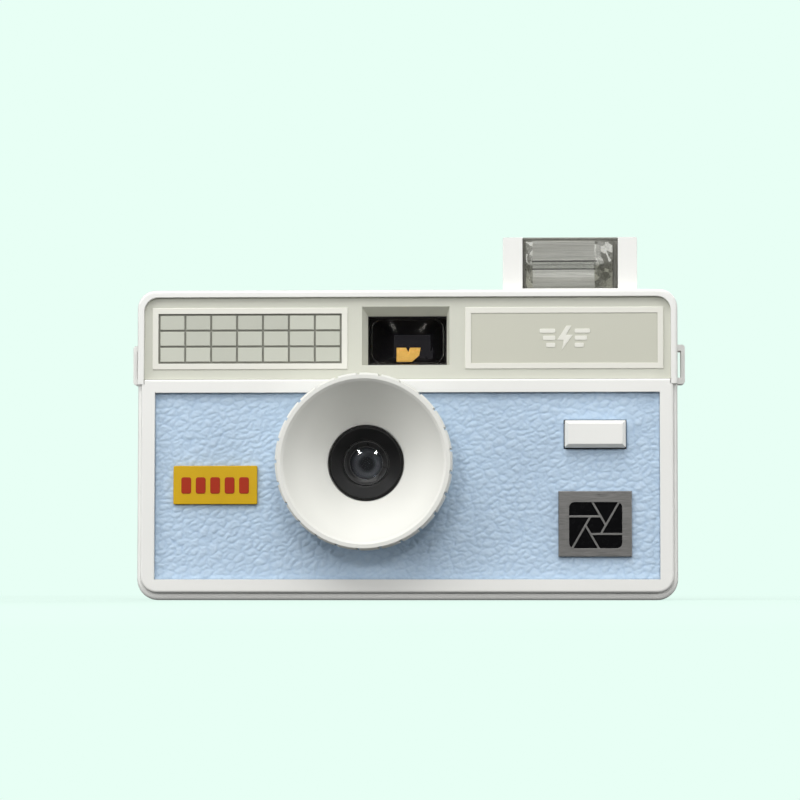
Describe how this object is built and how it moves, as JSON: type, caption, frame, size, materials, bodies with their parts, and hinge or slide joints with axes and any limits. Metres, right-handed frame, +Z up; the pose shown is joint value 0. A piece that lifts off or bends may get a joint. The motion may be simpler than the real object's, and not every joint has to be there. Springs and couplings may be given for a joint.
{
  "type": "half frame camera",
  "caption": "Boxy half frame 35 mm film camera with a flared lens hood, a pop-up flash, a pebbled covering and a rear door.",
  "frame": {"origin": "centre of the camera's plan view, on the surface that it stands on", "axes": "+X to the right as seen from the front, -Y towards the subject, +Z up"},
  "size_m": [0.1216, 0.042, 0.0792],
  "materials": {
    "white_plastic": "fine satin moulded plastic",
    "fascia_plastic": "fine matt, grey-beige",
    "cell_plastic": "satin, grey-beige, each cell slightly different",
    "dark_sheet": "matt dark grey",
    "covering": "pebbled pale blue leatherette",
    "yellow_enamel": "gloss ochre-yellow enamel with a red pattern",
    "black_enamel": "gloss black enamel",
    "badge_metal": "brushed",
    "black_plastic": "satin black moulding",
    "grey_plastic": "satin grey moulding",
    "counter_white": "matt white with printed numbers",
    "optical_glass": "polished, clear",
    "black_metal": "matt black",
    "steel": "bright plated steel",
    "foam": "black open-cell foam",
    "reflector": "bright anodised reflector",
    "flash_glass": "clear quartz tube",
    "lamp_red": "translucent orange-red",
    "board": "circuit board with components",
    "capacitor_sleeve": "shrink sleeve"
  },
  "bodies": {
    "camera": {"front_cover": "white_plastic", "top_cover": "white_plastic", "strap_lug_left": "white_plastic", "strap_lug_right": "white_plastic", "fascia_panel": "fascia_plastic", "cell_backing": "dark_sheet", "cell_tiles": "cell_plastic", "title_plate": "fascia_plastic", "panel_frames": "white_plastic", "leatherette": "covering", "badge_left": "yellow_enamel", "badge_right": "badge_metal", "badge_inset": "black_enamel", "lens_hood": "white_plastic", "lens_barrel": "black_plastic", "lens_retainer": "black_plastic", "front_element": "optical_glass", "rear_element": "optical_glass", "aperture_stop": "black_metal", "shutter_plate": "steel", "blade_spring": "steel", "button_spring": "steel", "film_chassis": "black_plastic", "cassette_chamber": "black_plastic", "takeup_chamber": "black_plastic", "wheel_pawl": "steel", "counter_window": "optical_glass", "rewind_bush": "black_plastic", "finder_tunnel": "black_plastic", "finder_front_lens": "optical_glass", "finder_eyepiece": "optical_glass", "ready_lamp": "lamp_red", "flash_spring": "steel", "circuit_board": "board", "flash_capacitor": "capacitor_sleeve", "battery_contacts": "steel", "door_hinge_pin": "steel", "case_screws": "steel"},
    "door": {"back_door": "white_plastic", "light_seals": "foam", "pressure_plate": "black_metal", "pressure_spring": "steel"},
    "latch": {"door_latch": "black_plastic"},
    "blade": {"shutter_blade": "black_metal"},
    "lever": {"release_lever": "steel"},
    "release": {"shutter_button": "grey_plastic"},
    "advance": {"takeup_spool": "black_plastic", "advance_wheel": "black_plastic"},
    "film_sprocket": {"sprocket": "black_plastic"},
    "counter": {"counter_dial": "counter_white"},
    "rewind": {"rewind_hub": "grey_plastic"},
    "crank": {"rewind_crank": "steel"},
    "knob": {"crank_knob": "black_plastic"},
    "sprocket_release": {"rewind_release": "grey_plastic"},
    "flash": {"flash_housing": "white_plastic", "flash_reflector": "reflector", "flash_tube": "flash_glass", "flash_window": "optical_glass"},
    "flash_catch": {"flash_button": "white_plastic"},
    "battery_lid": {"battery_door": "white_plastic"}
  },
  "joints": [
    {"name": "flash_lift", "type": "slide", "parent": "camera", "child": "flash", "axis": [0, 0, 1], "range_m": [-0.0117, 0], "stiffness_N_per_m": 60, "springref_m": 0.006, "deforming": ["flash_spring"]},
    {"name": "flash_button_press", "type": "slide", "parent": "camera", "child": "flash_catch", "axis": [0, 1, 0], "range_m": [0, 0.001], "stiffness_N_per_m": 400, "springref_m": -0.0005},
    {"name": "shutter_button_press", "type": "slide", "parent": "camera", "child": "release", "axis": [0, 0, -1], "range_m": [0, 0.002], "stiffness_N_per_m": 300, "springref_m": -0.001, "deforming": ["button_spring"]},
    {"name": "release_lever_rock", "type": "hinge", "parent": "camera", "child": "lever", "pos_m": [-0.0195, -0.0065, 0.047], "axis": [0, -1, 0], "range_deg": [0, 14.2]},
    {"name": "shutter_blade_swing", "type": "hinge", "parent": "camera", "child": "blade", "pos_m": [-0.0023, -0.00555, 0.0362], "axis": [0, -1, 0], "range_deg": [0, 32], "stiffness_Nm_per_rad": 0.0008, "springref_deg": -8.59},
    {"name": "advance_spin", "type": "hinge", "parent": "camera", "child": "advance", "pos_m": [-0.043, 0.007, 0.058], "axis": [0, 0, 1], "continuous": true},
    {"name": "sprocket_spin", "type": "hinge", "parent": "camera", "child": "film_sprocket", "pos_m": [-0.0255, 0.0098, 0.03], "axis": [0, 0, 1], "continuous": true},
    {"name": "counter_turn", "type": "hinge", "parent": "camera", "child": "counter", "pos_m": [-0.016, 0.01, 0.0628], "axis": [0, 0, 1], "continuous": true},
    {"name": "rewind_spin", "type": "hinge", "parent": "camera", "child": "rewind", "pos_m": [0.0434, 0.00535, 0.0035], "axis": [0, 0, 1], "continuous": true},
    {"name": "crank_fold", "type": "hinge", "parent": "rewind", "child": "crank", "pos_m": [0.0364, 0.00535, 0.0015], "axis": [0, 1, 0], "range_deg": [0, 135]},
    {"name": "crank_knob_spin", "type": "hinge", "parent": "crank", "child": "knob", "pos_m": [0.0504, 0.00535, 0.0032], "axis": [0, 0, 1], "continuous": true},
    {"name": "sprocket_release_press", "type": "slide", "parent": "camera", "child": "sprocket_release", "axis": [0, 0, 1], "range_m": [0, 0.0015], "stiffness_N_per_m": 300, "springref_m": -0.0005},
    {"name": "back_door_swing", "type": "hinge", "parent": "camera", "child": "door", "pos_m": [-0.0572, 0.0182, 0.026], "axis": [0, 0, 1], "range_deg": [0, 95]},
    {"name": "door_latch_slide", "type": "slide", "parent": "camera", "child": "latch", "axis": [0, 0, 1], "range_m": [0, 0.003], "stiffness_N_per_m": 150, "springref_m": -0.001},
    {"name": "battery_door_swing", "type": "hinge", "parent": "camera", "child": "battery_lid", "pos_m": [0.0259, -0.0027, 0.0008], "axis": [0, -1, 0], "range_deg": [0, 95]}
  ],
  "couplings": [
    {"joint": "counter_turn", "follows": "sprocket_spin", "ratio": -0.025},
    {"joint": "release_lever_rock", "follows": "shutter_button_press", "rad_per_m": 123.5}
  ]
}
